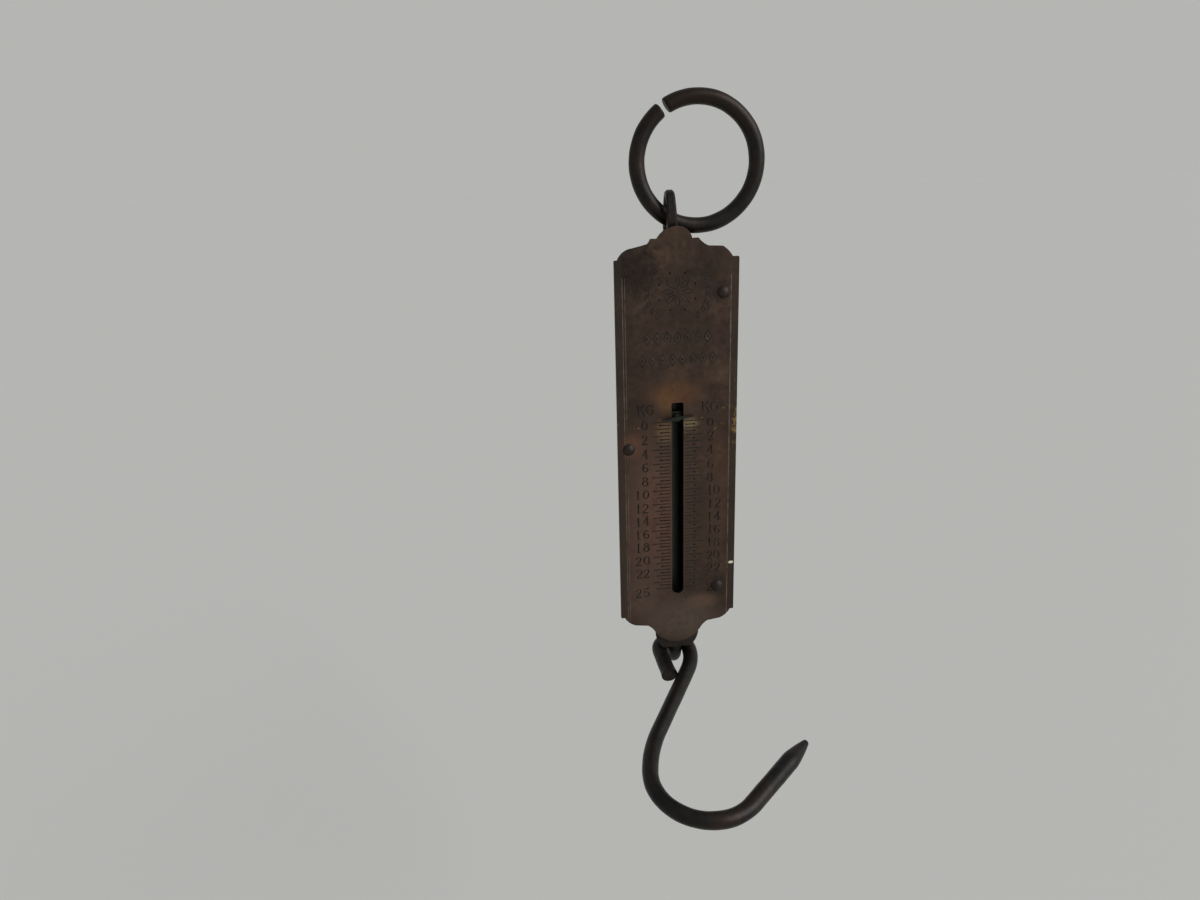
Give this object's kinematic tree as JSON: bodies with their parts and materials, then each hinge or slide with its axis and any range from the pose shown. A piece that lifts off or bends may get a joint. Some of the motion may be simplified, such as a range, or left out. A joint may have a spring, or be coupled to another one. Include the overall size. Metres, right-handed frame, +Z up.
{
  "type": "spring balance",
  "caption": "Pocket spring balance: slotted brass face with a scale, half-round steel back, sliding pointer and pull rod, split hanging ring and open load hook.",
  "frame": {"origin": "the inside of the hanging ring at its top, where it bears on what holds it, in the middle of the wire's thickness", "axes": "+Z up along the case, -Y out of the scale face, +X to the right of someone who reads the scale"},
  "size_m": [0.0484, 0.0793, 0.181],
  "materials": {
    "patinated_brass": "dark brown patina, worn at the edges",
    "blackened_steel": "forged, blackened and oiled",
    "steel_sheet": "pressed sheet, dark",
    "bright_steel": "turned, dulled",
    "spring_steel": "oil tempered wire"
  },
  "bodies": {
    "ring": {"hanging_ring": "blackened_steel"},
    "case": {"hanging_loop": "blackened_steel", "face_plate": "patinated_brass", "face_rivets": "blackened_steel", "back_casing": "steel_sheet", "top_block": "bright_steel", "bottom_block": "bright_steel", "block_rivets": "blackened_steel", "upper_spring_plug": "bright_steel", "upper_plug_pin": "bright_steel", "main_spring": "spring_steel"},
    "rod": {"lower_spring_plug": "bright_steel", "lower_plug_pin": "bright_steel", "pointer": "bright_steel", "pull_rod": "blackened_steel"},
    "hook": {"load_hook": "blackened_steel"}
  },
  "joints": [
    {"name": "case_swing", "type": "hinge", "parent": "ring", "child": "case", "pos_m": [-0.0076, 0, -0.02979], "axis": [1, 0, 0], "range_deg": [-100, 100]},
    {"name": "rod_pull", "type": "slide", "parent": "case", "child": "rod", "axis": [0, 0, -1], "range_m": [0, 0.0521], "stiffness_N_per_m": 4700, "deforming": ["main_spring"]},
    {"name": "hook_swing", "type": "hinge", "parent": "rod", "child": "hook", "pos_m": [-0.0076, 0, -0.15979], "axis": [1, 0, 0], "range_deg": [-3, 168]}
  ]
}
